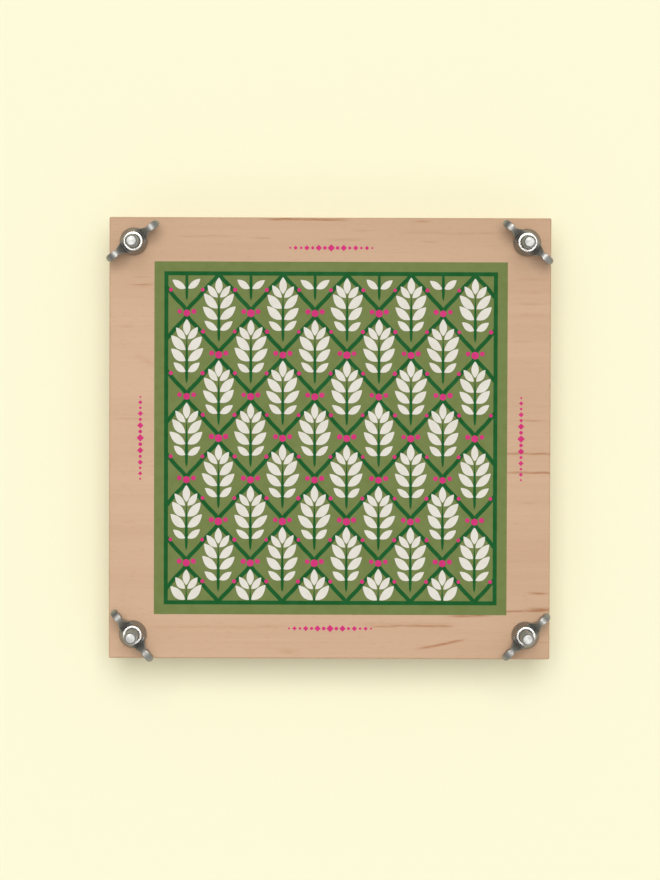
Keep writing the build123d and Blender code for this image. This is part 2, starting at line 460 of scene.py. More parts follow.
@dataclass(frozen=True)
class PlywoodFinish:
    """Pale plywood: veneer faces with grain along X, and bands of plies on the edges."""

    name: str  # Name of the material.
    low: float  # Height of the board's underside, in metres.
    high: float  # Height of its upper face, in metres.
    streaks: tuple[Streak, ...] = ()  # Brown streaks in its upper veneer.
    pale: Colour = screen(212, 175, 142)  # Colour of the veneer.
    deep: Colour = screen(201, 164, 131)  # Colour of its darker grain.
    pore: Colour = screen(184, 144, 110)  # Colour of its pores.
    streak: Colour = screen(158, 92, 42)  # Colour of its streaks.
    long_ply: Colour = screen(216, 180, 148)  # Colour of the plies that run along an edge.
    end_ply: Colour = screen(176, 134, 100)  # Colour of the plies that end at it.
    glue: Colour = screen(124, 86, 60)  # Colour of the glue lines.
    plies: float = 7.0  # Number of plies.
    fade: float = 0.004  # How far the ends of a streak run out, in metres.
    sway: float = 0.0016  # How far streaks wander, in metres.

    def material(self) -> Material:
        """Build the plywood.

        Returns:
            The material.
        """
        material, sheet, shader = new_material(self.name)
        place = sheet.place()
        grain = sheet.group(GRAIN, {"Vector": place})
        x, y, _ = sheet.axes(place)
        # The veneer deepens to the right and along the back edge.
        to_right = sheet.span(x, -0.1, 0.1, -0.33, 0.03)
        drift = sheet.plus(to_right, sheet.span(y, 0.06, 0.1, 0.0, 0.5))
        depth = sheet.math("ADD", sheet.span(grain["Tone"], 0.25, 0.75), drift, clamp=True)
        face = sheet.mix(depth, self.pale, self.deep)
        face = sheet.mix(sheet.times(grain["Pores"], 0.3), face, self.pore)
        face = self._streaked(sheet, place, face)
        edge = self._plies(sheet, place, grain["Tone"])
        normal = sheet.node("ShaderNodeNewGeometry", {}).outputs["Normal"]
        on_edge = sheet.span(sheet.math("ABSOLUTE", sheet.axes(normal)[2]), 0.66, 0.4)
        looks = {
            "Base Color": sheet.mix(on_edge, face, edge),
            "Roughness": sheet.span(grain["Tone"], 0.3, 0.7, 0.5, 0.62),
            "Normal": sheet.bump(grain["Height"], 0.00005, 0.5),
            "Specular IOR Level": 0.3,
        }
        sheet.feed(shader, looks)
        return material

    def _streaked(self, sheet: NodeSheet, place: Socket, face: Socket) -> Socket:
        """Lay the brown streaks over the veneer.

        Args:
            sheet: Node sheet to fill.
            place: Object coordinates.
            face: Colour of the veneer.

        Returns:
            The veneer's colour with its streaks.
        """
        x, y, _ = sheet.axes(place)
        wander = sheet.math("SUBTRACT", sheet.drawn(place, 55.0, 8.0, 8.0, 2.0), 0.5)
        row = sheet.plus(y, sheet.times(wander, self.sway))
        broken = sheet.drawn(place, 160.0, 1500.0, 1500.0, 2.0)
        for mark in self.streaks:
            level = mark.y - mark.slope * (mark.start + mark.end) / 2.0
            line = sheet.math("MULTIPLY_ADD", x, mark.slope, level)
            off = sheet.math("ABSOLUTE", sheet.math("SUBTRACT", row, line))
            into = sheet.span(x, mark.start - self.fade, mark.start + 1.5 * self.fade)
            out = sheet.span(x, mark.end + self.fade, mark.end - self.fade)
            band = sheet.times(sheet.span(off, mark.width, 0.0), sheet.times(into, out))
            share = sheet.span(broken, 0.25, 0.6, 0.35 * mark.depth, mark.depth)
            face = sheet.mix(sheet.times(band, share), face, self.streak)
        return face

    def _plies(self, sheet: NodeSheet, place: Socket, tone: Socket) -> Socket:
        """Band the edge: long plies, speckled end plies and thin glue lines by height.

        Args:
            sheet: Node sheet to fill.
            place: Object coordinates.
            tone: Tone of the grain.

        Returns:
            The edge's colour.
        """
        heights = {0: sheet.axes(place)[2], 1: self.low, 2: self.high, 3: 0.0, 4: self.plies}
        level = sheet.node("ShaderNodeMapRange", heights).outputs[0]
        waver = sheet.times(sheet.noise(place, 30.0, 2.0), 0.16)
        ply = sheet.plus(level, sheet.math("SUBTRACT", waver, 0.08))
        odd = sheet.math("GREATER_THAN", sheet.math("FRACT", sheet.times(ply, 0.5)), 0.5)
        specks = sheet.span(sheet.noise(place, 1800.0, 2.0), 0.42, 0.62)
        end = sheet.mix(0.55, sheet.mix(specks, self.end_ply, self.long_ply), self.end_ply)
        long = sheet.mix(sheet.times(tone, 0.5), self.long_ply, self.deep)
        near = sheet.span(sheet.math("PINGPONG", ply, 0.5), 0.07, 0.02, 0.0, 0.6)
        return sheet.mix(near, sheet.mix(odd, long, end), self.glue)


@dataclass(frozen=True)
class InkFinish:
    """Matt printing ink that lets the wood's grain show faintly in its surface."""

    name: str  # Name of the material.
    tone: Colour  # Colour of the ink.
    shade: Colour  # Colour where the ink lies a little thicker.

    def material(self) -> Material:
        """Build the ink.

        Returns:
            The material.
        """
        material, sheet, shader = new_material(self.name)
        place = sheet.place()
        grain = sheet.group(GRAIN, {"Vector": place})
        mottle = sheet.noise(place, 240.0, 4.0)
        thick = sheet.plus(sheet.span(mottle, 0.35, 0.7, 0.0, 0.6), sheet.times(grain["Tone"], 0.3))
        looks = {
            "Base Color": sheet.mix(thick, self.tone, self.shade),
            "Roughness": sheet.span(mottle, 0.3, 0.7, 0.5, 0.6),
            "Normal": sheet.bump(grain["Height"], 0.00003, 0.4),
            "Specular IOR Level": 0.12,
        }
        sheet.feed(shader, looks)
        return material


@dataclass(frozen=True)
class PlateFinish:
    """Zinc plate on steel or on a casting."""

    name: str  # Name of the material.
    plate: Colour  # Colour of the plate.
    hollow: Colour  # Colour in hollows, as grime and painted shade.
    wear_and_highlight: Colour  # Colour on raised places, as wear and a painted highlight.
    grit: float  # Specks in a metre.
    depth: float  # Depth of the specks, in metres.
    metal: float  # How metallic the surface is, lower where it is dull.
    dullness: float  # Mean roughness.

    def material(self) -> Material:
        """Build the plating.

        Returns:
            The material.
        """
        material, sheet, shader = new_material(self.name)
        stored = {"attribute_name": "relief", "attribute_type": "GEOMETRY"}
        relief = sheet.node("ShaderNodeAttribute", {}, **stored).outputs["Fac"]
        tones = {"Plate": self.plate, "Hollow": self.hollow, "Wear and highlight": self.wear_and_highlight}
        wear = {"Relief": relief, "Grit": self.grit, "Dullness": self.dullness}
        worn = sheet.group(PLATING, {"Vector": sheet.place()} | tones | wear)
        looks = {
            "Base Color": worn["Colour"],
            "Roughness": worn["Roughness"],
            "Normal": sheet.bump(worn["Height"], self.depth),
            "Metallic": self.metal,
        }
        sheet.feed(shader, looks)
        return material


@dataclass(frozen=True)
class PaperFinish:
    """Card or blotting paper with its fibres."""

    name: str  # Name of the material.
    tone: Colour  # Colour of the sheet.
    cloud: Colour  # Colour of its clouds.
    thread: Colour  # Colour of its fibres.
    depth: float  # Depth of the fibres, in metres.
    sheen: float  # Softness of its surface.

    def material(self) -> Material:
        """Build the paper.

        Returns:
            The material.
        """
        material, sheet, shader = new_material(self.name)
        fibre = sheet.group(FIBRE, {"Vector": sheet.place()})
        shade = sheet.mix(sheet.span(fibre["Clouds"], 0.35, 0.7), self.tone, self.cloud)
        looks = {
            "Base Color": sheet.mix(sheet.times(fibre["Threads"], 0.5), shade, self.thread),
            "Roughness": sheet.span(fibre["Clouds"], 0.3, 0.7, 0.78, 0.9),
            "Normal": sheet.bump(fibre["Height"], self.depth),
            "Specular IOR Level": 0.2,
            "Sheen Weight": self.sheen,
        }
        sheet.feed(shader, looks)
        return material


# Streaks of the upper board's veneer: y, start, end, width, depth and sometimes slope.
UPPER_STREAKS = (
    (-0.0068, 0.078, 0.102, 0.0009, 0.62), (-0.0154, 0.078, 0.102, 0.0009, 0.56),
    (-0.0156, 0.090, 0.102, 0.0006, 0.5), (-0.0703, 0.091, 0.098, 0.001, 0.8),
    (-0.0783, 0.076, 0.096, 0.0009, 0.65), (-0.0776, 0.091, 0.101, 0.0016, 0.8),
    (-0.0925, 0.096, 0.0985, 0.0005, 0.75), (0.0083, 0.0867, 0.0958, 0.0006, 0.45),
    (-0.0849, 0.0197, 0.0546, 0.0007, 0.62), (-0.0845, 0.013, 0.056, 0.0024, 0.2),
    (-0.0857, -0.081, -0.019, 0.0012, 0.16), (-0.0932, 0.041, 0.0604, 0.001, 0.75, 0.2),
    (-0.0803, 0.0546, 0.0718, 0.001, 0.7), (-0.0969, -0.0215, -0.0165, 0.0018, 0.35),
    (0.0349, -0.087, -0.079, 0.0024, 0.2, -0.5), (0.0694, -0.090, -0.080, 0.0005, 0.4),
    (0.0983, 0.037, 0.0445, 0.0008, 0.5), (0.0992, -0.029, 0.007, 0.0008, 0.8),
    (0.0725, 0.086, 0.0985, 0.0012, 0.18), (0.0666, 0.084, 0.096, 0.0014, 0.1),
    (0.0612, 0.084, 0.096, 0.0008, 0.25), (0.0561, 0.083, 0.098, 0.001, 0.16),
    (0.0442, 0.0845, 0.0895, 0.0007, 0.28), (-0.0294, 0.088, 0.0918, 0.0007, 0.4),
    (0.0914, -0.069, -0.0445, 0.0008, 0.22), (0.0909, -0.0335, -0.0288, 0.0007, 0.5),
    (0.0902, 0.0, 0.0125, 0.001, 0.24), (0.0942, 0.0118, 0.0148, 0.0009, 0.45),
    (0.0931, 0.032, 0.075, 0.001, 0.18), (0.089, 0.0425, 0.0462, 0.0007, 0.5),
    (0.0728, -0.088, -0.0826, 0.0007, 0.36), (0.0691, -0.0885, -0.082, 0.0014, 0.3),
    (0.0507, -0.0945, -0.0915, 0.0014, 0.32), (0.0087, -0.0975, -0.084, 0.0006, 0.24),
    (-0.0383, -0.0925, -0.09, 0.0007, 0.4),
)


@dataclass
class Boards:
    """The two plywood boards, which keep their CAD solids."""

    upper: str = "top_board"  # Node of the upper board.
    lower: str = "base_board"  # Node of the lower board.

    def dress(self) -> None:
        """Give each board its own plywood."""
        for node, marks in ((self.upper, UPPER_STREAKS), (self.lower, ())):
            low, high = node_size(node)
            streaks = tuple(Streak(*mark) for mark in marks)
            finish = PlywoodFinish(f"plywood of {node}", float(low[2]), float(high[2]), streaks)
            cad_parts[node].material_slots[0].material = finish.material()
            log.info("dressed %s", node)


@dataclass
class PrintedField:
    """The printed square on the upper board: a framed ogee trellis with a leafy sprig in each cell.

    Lengths are in metres.
    """

    side: float = 0.160  # Side of the printed square.
    inner: float = 0.151  # Side of the square inside the printed frame line.
    columns: float = 10.4  # Trellis lines across that square.
    drops: float = 4.0  # Trellis cells from its front to its back.
    film: float = 0.00003  # Thickness of a layer of ink.
    line: float = 0.0018  # Width of the trellis and frame lines.
    stalk: float = 0.58  # Length of a sprig's stalk, as a share of a cell's.
    leaf: float = 0.0088  # Length of the longest leaf of a sprig.
    # Lengths of the pairs of leaves from the foot up, as shares of the longest.
    pairs: tuple[float, ...] = (0.78, 0.98, 1.0, 0.78)
    spread: float = 64.0  # Angle of the lowest pair from the stalk, in degrees.
    closing: float = 5.0  # How much less each pair above it spreads.
    curl: float = 0.16  # How far the tip of a leaf bends to the stalk, as a share of its length.
    slender: float = 0.45  # Width of a leaf, as a share of its length.
    wobble: float = 0.05  # How far leaves vary, as a share and in radians.
    border: float = 0.0863  # Distance of the border ornaments from the centre.
    shift: float = 0.0004  # How far to the right of the middle the print lies.

    def __post_init__(self) -> None:
        """Read the height of the printed face, fit the cells and start the seeded wobble."""
        self.face = float(node_size("top_board")[1][2])
        self.step = self.inner / self.columns
        self.rise = self.inner / self.drops
        self.inside = self.inner / 2.0 - self.line
        self.draw = np.random.default_rng(SEED)

    def build(self) -> None:
        """Print the layers of ink, from the ground up."""
        ground, lines, leaves, beads, rows = (MeshSheet() for _ in range(5))
        edge = np.linspace(-0.5, 0.5, 17) * self.side
        ground.add_grid(self._flat(*np.meshgrid(edge, edge, indexing="ij"), Layer.GROUND.value))
        self._trellis(lines)
        self._sprigs(lines, leaves, beads)
        self._ornaments(rows)
        olive = InkFinish("olive ink", screen(117, 130, 71), screen(111, 124, 66)).material()
        green = InkFinish("leaf ink", screen(3, 92, 33), screen(2, 84, 29)).material()
        cream = InkFinish("cream ink", screen(232, 227, 216), screen(224, 218, 206)).material()
        pink = InkFinish("pink ink", screen(216, 50, 124), screen(204, 44, 114)).material()
        self._print(ground, "ink_ground", olive, self.side / 2.0)
        self._print(lines, "ink_trellis", green, self.inner / 2.0)
        self._print(leaves, "ink_leaves", cream, self.inside)
        self._print(beads, "ink_beads", pink, self.inside)
        self._print(rows, "ink_ornaments", pink, self.border + self.leaf)

    def _flat(self, x: Array, y: Array, layer: float) -> Array:
        """Lay plan coordinates on the printed face, at the top of a layer."""
        return points_at(x, y, self.face + self.film * (2.0 * layer - 0.5))

    def _print(self, sheet: MeshSheet, name: str, ink: Material, half: float) -> None:
        """Trim a layer to a square and give it a film's thickness.

        Args:
            sheet: Gathered shapes.
            name: Name of the piece.
            ink: Its material.
            half: Half the side of the square.
        """
        piece = sheet.piece(name, smooth=False)
        trim = bmesh.new()
        trim.from_mesh(piece.data)
        for side in ((1, 0, 0), (-1, 0, 0), (0, 1, 0), (0, -1, 0)):
            every = trim.verts[:] + trim.edges[:] + trim.faces[:]
            plane = {"plane_co": np.array(side) * half, "plane_no": side}
            bmesh.ops.bisect_plane(trim, geom=every, clear_outer=True, dist=MERGE, **plane)
        face_down = [face for face in trim.faces if face.normal.z < 0.0]
        bmesh.ops.reverse_faces(trim, faces=face_down)
        bmesh.ops.translate(trim, verts=trim.verts, vec=(self.shift, 0.0, 0.0))
        trim.to_mesh(piece.data)
        trim.free()
        skin = piece.modifiers.new("film", "SOLIDIFY")
        skin.thickness = self.film
        skin.offset = -1.0
        settle(piece, ink, Body.TOP.value, "plywood")

    def _leaf(
        self,
        foot: Array,
        turn: Array,
        size: Array,
        layer: float,
        bend: float = 0.0,
        belly: float = 0.95,
    ) -> Array:
        """Draw leaves as grids of length by width.

        The half width follows the sine of pi times the length's share raised to the belly, and
        the middle line leans sideways with the square of that share.

        Args:
            foot: Plan places of the leaves' feet, of shape (n, 2).
            turn: Angles from +Y, positive to the right.
            size: Lengths and widths, of shape (2, n).
            layer: Ink layer.
            bend: Sideways reach of the tips.
            belly: Power that moves the widest place towards the tip.

        Returns:
            Grids of shape (n, u, v, 3).
        """
        share = np.linspace(0.0, 1.0, 19)[None, :, None]
        across = np.linspace(-1.0, 1.0, 5)[None, None, :]
        long, wide = size[..., None, None]
        half = 0.5 * wide * np.sin(np.pi * share**belly).clip(0.0) ** 0.85
        x = bend * share**2 + half * across
        y = long * share
        sine, cosine = np.sin(turn)[:, None, None], np.cos(turn)[:, None, None]
        plan_x = foot[:, 0, None, None] + x * cosine + y * sine
        plan_y = foot[:, 1, None, None] - x * sine + y * cosine
        return self._flat(plan_x, plan_y, layer)

    def _dot(self, middle: Array, radius: Array, layer: Layer, corners: int = 24) -> Array:
        """Draw dots, or lozenges with four corners, as grids of radius by angle.

        Args:
            middle: Plan places of the dots, of shape (n, 2).
            radius: Their radii.
            layer: Ink layer.
            corners: Points round the rim.

        Returns:
            Grids of shape (n, u, v, 3).
        """
        reach = radius[:, None, None] * np.linspace(0.0, 1.0, 4)[None, :, None]
        angle = np.linspace(0.0, FULL_TURN, corners + 1)[None, None, :]
        plan_x = middle[:, 0, None, None] + reach * np.cos(angle)
        plan_y = middle[:, 1, None, None] + reach * np.sin(angle)
        return self._flat(plan_x, plan_y, layer.value)

    def _trellis(self, lines: MeshSheet) -> None:
        """Draw the frame line and the trellis inside it.

        A trellis line sways by a cosine with a little of its third harmonic, and every other one
        is mirrored, so that neighbours touch at their crests.

        Args:
            lines: Sheet for the green ink.
        """
        third = 0.1
        y = np.linspace(-0.6, 0.6, 361) * self.inner
        phase = FULL_TURN * y / self.rise
        sway = (np.cos(phase) + third * np.cos(3.0 * phase)) / (1.0 + third)
        across = np.linspace(-0.5, 0.5, 3)[None, :] * self.line
        for order in range(-6, 7):
            mirror = 1.0 if order % 2 == 0 else -1.0
            x = order * self.step + mirror * 0.5 * self.step * sway
            slope = np.gradient(x, y)
            lean = 1.0 / np.sqrt(1.0 + slope**2)
            plan_x = x[:, None] + across * lean[:, None]
            plan_y = y[:, None] - across * (slope * lean)[:, None]
            # Crossing lines lie at two heights, so that their films never share a face.
            lines.add_grid(self._flat(plan_x, plan_y, Layer.TRELLIS.value + 0.125 * mirror))
        corner = np.array([[1.0, 1.0], [-1.0, 1.0], [-1.0, -1.0], [1.0, -1.0]])
        reach = np.array([self.inner / 2.0, self.inside])
        square = corner[:, None, :] * reach[None, :, None]
        frame_line = self._flat(square[..., 0], square[..., 1], Layer.FRAME.value)
        lines.add_grid(frame_line, wrap_u=True)

    def _vary(self, shape: int | tuple[int, int], reach: float) -> Array:
        """Draw small seeded changes, up to a reach either way."""
        return self.draw.uniform(-reach, reach, shape)

    def _sprigs(self, lines: MeshSheet, leaves: MeshSheet, beads: MeshSheet) -> None:
        """Fill the cells, in a half drop, with a stalk, pairs of leaves, an end leaf and beads.

        Args:
            lines: Sheet for the green ink.
            leaves: Sheet for the cream ink.
            beads: Sheet for the pink ink.
        """
        column, row = np.meshgrid(np.arange(-5, 5), np.arange(-3, 4), indexing="ij")
        x = (column + 0.5) * self.step
        y = row * self.rise + np.where(column % 2 == 0, 0.5 * self.rise, 0.0)
        cells = np.stack([x.ravel(), y.ravel()], axis=-1)
        count = len(cells)
        still = np.zeros(count)
        stalk = self.stalk * self.rise
        foot = cells - np.array([0.0, 0.6 * stalk])
        size = np.full((2, count), [[stalk], [0.75 * self.line]])
        lines.add_grid(self._leaf(foot, still, size, Layer.STALK.value, belly=0.55))
        shape = np.array([[1.0], [self.slender]])
        lowest, gap = 0.25 * stalk, 0.225 * stalk
        for pair, share in enumerate(self.pairs):
            for side in (-1.0, 1.0):
                start = foot + np.array([side * 0.3 * self.line, lowest + gap * pair])
                lean = np.radians(self.spread - self.closing * pair)
                turn = side * (lean + self._vary(count, self.wobble))
                size = share * self.leaf * (1.0 + self._vary((2, count), self.wobble)) * shape
                bend = -self.curl * side * share * self.leaf
                layer = Layer.LEAF.value + 0.05 * pair + 0.1 * side
                leaves.add_grid(self._whole(self._leaf(start, turn, size, layer, bend)))
        tip = foot + np.array([0.0, stalk])
        size = 0.85 * self.leaf * (1.0 + self._vary(count, self.wobble)) * shape
        leaves.add_grid(self._whole(self._leaf(tip, still, size, Layer.END_LEAF.value)))
        # Beads by place from a cell's middle, in shares of its height, and by radius.
        for x, y, radius in (
            (0.0, 0.5, 0.0016),
            (-0.085, 0.52, 0.0011),
            (0.085, 0.52, 0.0011),
            (-0.19, -0.22, 0.0009),
            (0.19, -0.22, 0.0009),
        ):
            size = radius * (1.0 + self._vary(count, 2.0 * self.wobble))
            middle = cells + self.rise * np.array([x, y])
            beads.add_grid(self._whole(self._dot(middle, size, Layer.BEAD)))

    def _whole(self, shapes: Array) -> Array:
        """Keep the shapes of a set of grids that the frame line doesn't cut."""
        reach = np.abs(shapes[..., :2]).max(axis=(1, 2, 3))
        return shapes[reach < self.inside]

    def _ornaments(self, rows: MeshSheet) -> None:
        """Print a plain row of lozenges and dots, smaller towards its ends, on each border.

        Args:
            rows: Sheet for the pink ink.
        """
        order = np.arange(-7, 8)
        big = order % 2 == 0
        spacing, crowding = 0.0029, 0.012
        lozenge, dot, shrink = 0.0017, 0.0009, 0.07
        along = spacing * order * (1.0 - crowding * np.abs(order))
        radius = np.where(big, lozenge, dot) * (1.0 - shrink * np.abs(order))
        for angle in round_angles(4):
            out = np.array([np.sin(angle), np.cos(angle)])
            beside = np.array([np.cos(angle), -np.sin(angle)])
            middle = out * self.border + along[:, None] * beside
            rows.add_grid(self._dot(middle[big], radius[big], Layer.GROUND, corners=4))
            rows.add_grid(self._dot(middle[~big], radius[~big], Layer.GROUND))


@dataclass
class Bolts:
    """The four carriage bolts: domed head, square neck and rolled M6 thread.

    Lengths are in metres, and heights are above the head's seat.
    """

    radius: float = 0.003  # Radius over the thread.
    pitch: float = 0.001  # Climb of one turn.
    depth: float = 0.00058  # Depth of the thread.
    crest: float = 0.07  # Half the width of its crest, in pitches.
    flank: float = 0.3  # Width of its flank, in pitches.
    neck: float = 0.00315  # Half the side of the square neck.
    neck_height: float = 0.004  # Height of the neck.
    neck_power: float = 9.0  # Power of the neck's superellipse, higher for sharper corners.
    thread_start: float = 0.012  # Height at which the thread begins.
    chamfer: float = 0.0009  # Bevel of the tip.
    crown: float = 0.00006  # Height of the tip's crown.
    head_height: float = 0.0033  # Height of the dome.
    head_radius: float = 0.00775  # Radius of the head.

    def __post_init__(self) -> None:
        """Read where the bolts stand and how long they are."""
        low, high = node_size("carriage_bolts")
        self.seat = float(low[2]) + self.head_height
        self.length = float(high[2] - low[2]) - self.head_height
        self.reach = (high - self.head_radius)[:2]

    def build(self, finish: Material) -> None:
        """Make all four bolts as one piece.

        Args:
            finish: Plating of the bolts.
        """
        grid = self._bolt()
        sheet = MeshSheet()
        for x in (-1.0, 1.0):
            for y in (-1.0, 1.0):
                foot = np.append(self.reach * (x, y), self.seat)
                sheet.add_grid(grid + foot, wrap_v=True)
        piece = sheet.piece("bolts")
        place = point_values(piece.data, "co")
        out = np.hypot(*(np.abs(place[:, :2]) - self.reach).T)
        height = place[:, 2] - self.seat
        threaded = (height > self.thread_start) & (height < self.length - self.crown)
        # The thread's depth is a hollow, and so is the tip's bevel: both are painted darker, as
        # grime and painted shade.
        keep_relief(piece.data, np.where(threaded, (out - self.radius) / self.depth, 0.0))
        settle(piece, finish, Body.BASE.value, "zinc_steel", "carriage_bolts")

    def _bolt(self) -> Array:
        """Sweep the bolt's profile round its axis.

        Rows run from the dome's pole to the tip's middle. The neck's rows carry a rounded square,
        and the thread lowers the radius by a flat-topped ramp of the height in pitches less the
        angle in turns.

        Returns:
            Points of shape (u, v, 3).
        """
        dome = (self.head_radius**2 + self.head_height**2) / (2.0 * self.head_height)
        lift = np.linspace(0.0, np.arcsin(self.head_radius / dome), 12)
        head_r, head_z = dome * np.sin(lift), dome * (1.0 - np.cos(lift)) - self.head_height
        under_r = np.array([0.97, 0.8, 0.62]) * self.head_radius
        neck_z = np.array([0.0, 0.02, 0.5, 0.85, 1.0, 1.12, 1.25]) * self.neck_height
        squareness = np.array([1.0, 1.0, 1.0, 1.0, 0.9, 0.45, 0.0])
        top = self.length - self.crown
        thread_z = np.arange(self.neck_height * 1.4, top, self.pitch / 8.0)
        shank_r = np.full(len(neck_z) + len(thread_z), self.radius)
        tip_r = np.linspace(1.0, 0.0, 7) * (self.radius - self.chamfer)
        tip_z = self.length - self.crown * (tip_r / tip_r[0]) ** 2
        radius = np.concatenate([head_r, under_r, shank_r, tip_r])
        height = np.concatenate([head_z, np.zeros_like(under_r), neck_z, thread_z, tip_z])
        square = np.zeros((len(radius), 1))
        neck_row = len(head_r) + len(under_r)
        square[neck_row : neck_row + len(neck_z), 0] = squareness
        angle = round_angles(40)[None, :]
        box = self.neck * superellipse(angle, self.neck_power)
        base = radius[:, None] * (1.0 - square) + box * square
        turn = np.mod(height[:, None] / self.pitch - angle / FULL_TURN + 0.5, 1.0) - 0.5
        fall = np.clip((np.abs(turn) - self.crest) / self.flank, 0.0, 1.0)
        cut_in = smooth_step(height, self.thread_start, self.thread_start + 2.0 * self.pitch)
        on_thread = (cut_in * (radius >= self.radius) * (height < top))[:, None]
        reach = base - self.depth * fall * on_thread
        bevel = self.radius - self.chamfer + np.maximum(self.length - height, 0.0)[:, None]
        reach = np.where(on_thread > 0.5, np.minimum(reach, bevel), reach)
        return points_at(reach * np.cos(angle), reach * np.sin(angle), height[:, None])


@dataclass
class Washer:
    """One flat washer with rounded rims."""

    corner: Corner  # Corner it belongs to.
    hole: float = 0.0032  # Radius of its hole, in metres.
    power: float = 8.0  # Power of its section's superellipse, higher for sharper rims.

    def build(self, finish: Material) -> None:
        """Sweep a superellipse with its sides at the hole and the rim round the bolt's axis.

        Args:
            finish: Plating of the washer.
        """
        node = f"washer_{self.corner.value}"
        low, high = node_size(node)
        half_wide = ((high[0] - low[0]) / 2.0 - self.hole) / 2.0
        half_high = (high[2] - low[2]) / 2.0
        spin = round_angles(72)[None, :]
        around = round_angles(32)[:, None]
        size = superellipse(around, self.power)
        radius = self.hole + half_wide + half_wide * size * np.cos(around)
        rise = half_high * size * np.sin(around)
        points = points_at(radius * np.cos(spin), radius * np.sin(spin), rise)
        sheet = MeshSheet()
        sheet.add_grid(points + (low + high) / 2.0, wrap_u=True, wrap_v=True)
        piece = sheet.piece(f"{node}_plate")
        settle(piece, finish, node, "zinc_steel", node)


@dataclass
class WingNut:
    """One cast wing nut, softened from its CAD solid as a casting's edges are.

    Lengths are in metres.
    """

    corner: Corner  # Corner it belongs to.
    entry: float = 0.0032  # Radius of the thread's entry, which is greasy and painted dark for its shade.
    face: float = 0.0045  # Radius of the hub's top, which is faced off, and painted bright for its highlight.
    hub_height: float = 0.008  # Height of the hub.
    voxel: float = 0.00014  # Size of the remesh.
    rounds: int = 6  # Smoothing passes.
    spread: int = 6  # Passes over which a point's neighbours are averaged.
    bulge: float = 0.00008  # Height over or under that average that makes a full ridge or hollow.

    def build(self, finish: Material) -> None:
        """Copy the solid, remesh it finely and smooth its edges.

        Args:
            finish: Plating of the nut.
        """
        node = f"wing_nut_{self.corner.value}"
        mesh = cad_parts[node].data.copy()
        merge = bmesh.new()
        merge.from_mesh(mesh)
        bmesh.ops.remove_doubles(merge, verts=merge.verts, dist=10.0 * MERGE)
        merge.to_mesh(mesh)
        merge.free()
        rough = linked(f"{node}_rough", mesh)
        remesh = rough.modifiers.new("remesh", "REMESH")
        remesh.mode = "VOXEL"
        remesh.voxel_size = self.voxel
        soften = rough.modifiers.new("soften", "SMOOTH")
        soften.factor = 0.5
        soften.iterations = self.rounds
        graph = bpy.context.evaluated_depsgraph_get()
        cast = bpy.data.meshes.new_from_object(rough.evaluated_get(graph))
        bpy.data.objects.remove(rough)
        cast.name = f"{node}_casting"
        cast.materials.clear()
        cast.polygons.foreach_set("use_smooth", np.ones(len(cast.polygons), bool))
        piece = linked(cast.name, cast)
        self._mark(cast, *node_size(node))
        settle(piece, finish, node, "cast_zinc", node)

    def _mark(self, mesh: Mesh, low: Array, high: Array) -> None:
        """Store each point's height over the mean of its neighbours.

        The mean comes from sums over the edges, spread over a few passes. The height is scaled
        to about -1 in hollows and 0.5 on ridges, which the plating darkens as grime and painted
        shade and lightens as wear and painted highlight. The thread's entry counts as a hollow and
        the faced top of the hub as fully worn, so both get their painted shade and highlight in
        full.

        Args:
            mesh: The casting.
            low: Lowest corner of the nut's box.
            high: Highest corner of the nut's box.
        """
        place, normal = point_values(mesh, "co"), point_values(mesh, "normal")
        ends = np.empty(len(mesh.edges) * 2, np.int64)
        mesh.edges.foreach_get("vertices", ends)
        first, second = ends.reshape(-1, 2).T
        degree = np.bincount(ends, minlength=len(place))[:, None]
        mean = place.copy()
        for _ in range(self.spread):
            total = np.zeros_like(mean)
            np.add.at(total, first, mean[second])
            np.add.at(total, second, mean[first])
            mean = total / degree
        height = ((place - mean) * normal).sum(axis=1)
        relief = np.where(height > 0.0, 0.5, 1.0) * height / self.bulge
        out = np.hypot(*(place - (low + high) / 2.0)[:, :2].T)
        top = place[:, 2] > low[2] + self.hub_height - 2.0 * self.voxel
        # The hub's faced top takes the light tone in full: wear, and a painted highlight.
        relief = np.where(top & (out < self.face), 1.0, relief)
        # The thread's entry takes the dark tone in full: grease, and painted shade.
        relief = np.where(out < self.entry, -1.0, relief)
        keep_relief(mesh, np.clip(relief, -1.0, 1.0))


